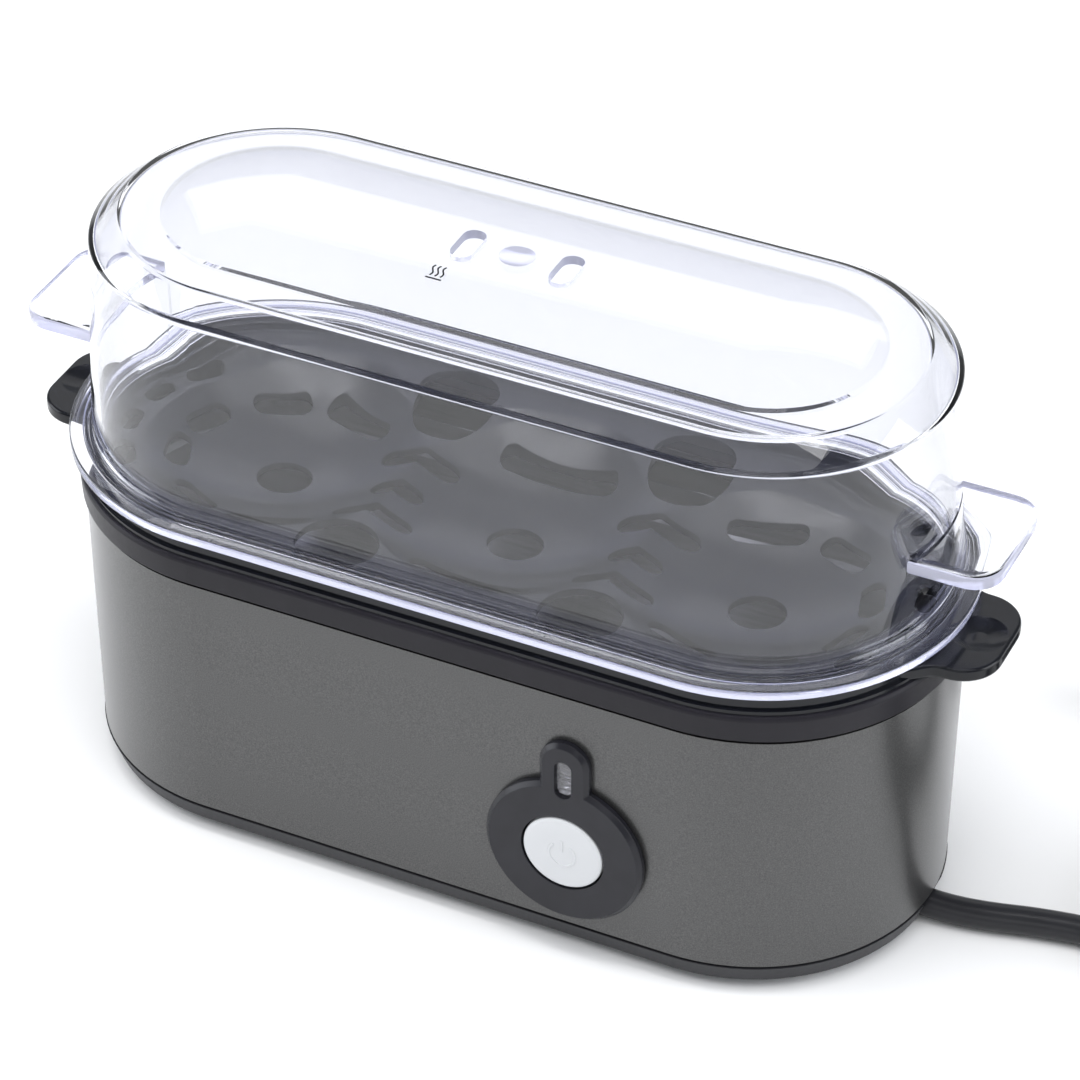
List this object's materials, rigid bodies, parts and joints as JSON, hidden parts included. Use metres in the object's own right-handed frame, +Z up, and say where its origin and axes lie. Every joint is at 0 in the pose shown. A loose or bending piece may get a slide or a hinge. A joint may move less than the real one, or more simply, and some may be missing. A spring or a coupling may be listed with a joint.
{
  "type": "egg cooker",
  "caption": "Electric steam egg cooker with a clear domed lid, a black slotted egg tray with two handles, a grey metal body, a push button, a lamp and a mains cord.",
  "frame": {"origin": "on the resting surface, under the middle of the body", "axes": "+X along the body's long side towards the cord, -Y towards the push button, +Z up"},
  "size_m": [0.3186, 0.1479, 0.138],
  "materials": {
    "base_plastic": "fine matte moulding",
    "feet_rubber": "matte",
    "screw_steel": "zinc plated",
    "sleeve_paint": "satin metallic grey with a fine speckle",
    "collar_plastic": "satin moulding",
    "seal_silicone": "matte translucent white",
    "dish_steel": "brushed",
    "spreader_aluminium": "mill finish",
    "element_steel": "heat tinted",
    "terminal_steel": "satin",
    "ceramic": "unglazed ceramic",
    "bracket_steel": "zinc plated",
    "thermostat_body": "moulded phenolic with a steel cap",
    "fuse_sleeve": "woven glass sleeve",
    "bezel_plastic": "satin face, polished bevel",
    "window_clear": "clear ribbed plastic",
    "button_white": "semi-gloss",
    "inner_plastic": "moulded",
    "spring_steel": "bright wire",
    "plunger_plastic": "moulded",
    "lamp_glass": "clear glass",
    "terminal_plastic": "moulded",
    "cord_rubber": "smooth satin PVC",
    "wire_brown": "smooth PVC",
    "wire_blue": "smooth PVC",
    "wire_green": "green and yellow PVC",
    "wire_white": "smooth PVC",
    "tray_plastic": "glossy rim and handles, satin floor",
    "lid_clear": "clear polycarbonate with a faint violet edge",
    "tie_plastic": "ribbed strap",
    "plug_rubber": "moulded PVC",
    "plug_metal": "nickel plated"
  },
  "bodies": {
    "base": {"base_cover": "base_plastic", "clamp_bars": "bracket_steel", "clamp_nuts": "screw_steel", "clamp_screws": "screw_steel", "control_bezel": "bezel_plastic", "cord_clamp": "inner_plastic", "cord_coil": "cord_rubber", "cord_gland": "cord_rubber", "cord_tail": "cord_rubber", "cord_tie": "tie_plastic", "cover_screws": "screw_steel", "dish_seal": "seal_silicone", "earth_wire": "wire_green", "element_beads": "ceramic", "element_pins": "terminal_steel", "heat_spreader": "spreader_aluminium", "heating_dish": "dish_steel", "heating_element": "element_steel", "inner_cord": "cord_rubber", "lamp_holder": "inner_plastic", "lamp_leads": "wire_white", "lamp_window": "window_clear", "live_wires": "wire_brown", "neon_lamp": "lamp_glass", "neutral_wires": "wire_blue", "plug_body": "plug_rubber", "plug_clips": "plug_metal", "plug_pins": "plug_metal", "power_cord": "cord_rubber", "power_switch": "inner_plastic", "rubber_feet": "feet_rubber", "sleeve": "sleeve_paint", "switch_carrier": "inner_plastic", "terminal_block": "terminal_plastic", "thermal_fuse": "fuse_sleeve", "thermostat": "thermostat_body", "thermostat_bracket": "bracket_steel", "top_collar": "collar_plastic"},
    "tray": {"egg_tray": "tray_plastic"},
    "lid": {"lid": "lid_clear"},
    "button": {"power_button": "button_white", "switch_plunger": "plunger_plastic", "button_spring": "spring_steel"}
  },
  "joints": [
    {"name": "tray_lift", "type": "slide", "parent": "base", "child": "tray", "axis": [0, 0, 1], "range_m": [0, 0.06]},
    {"name": "lid_lift", "type": "slide", "parent": "tray", "child": "lid", "axis": [0, 0, 1], "range_m": [0, 0.08]},
    {"name": "button_press", "type": "slide", "parent": "base", "child": "button", "axis": [0, 1, 0], "range_m": [0, 0.002], "stiffness_N_per_m": 500, "springref_m": -0.001, "deforming": ["button_spring"]}
  ]
}
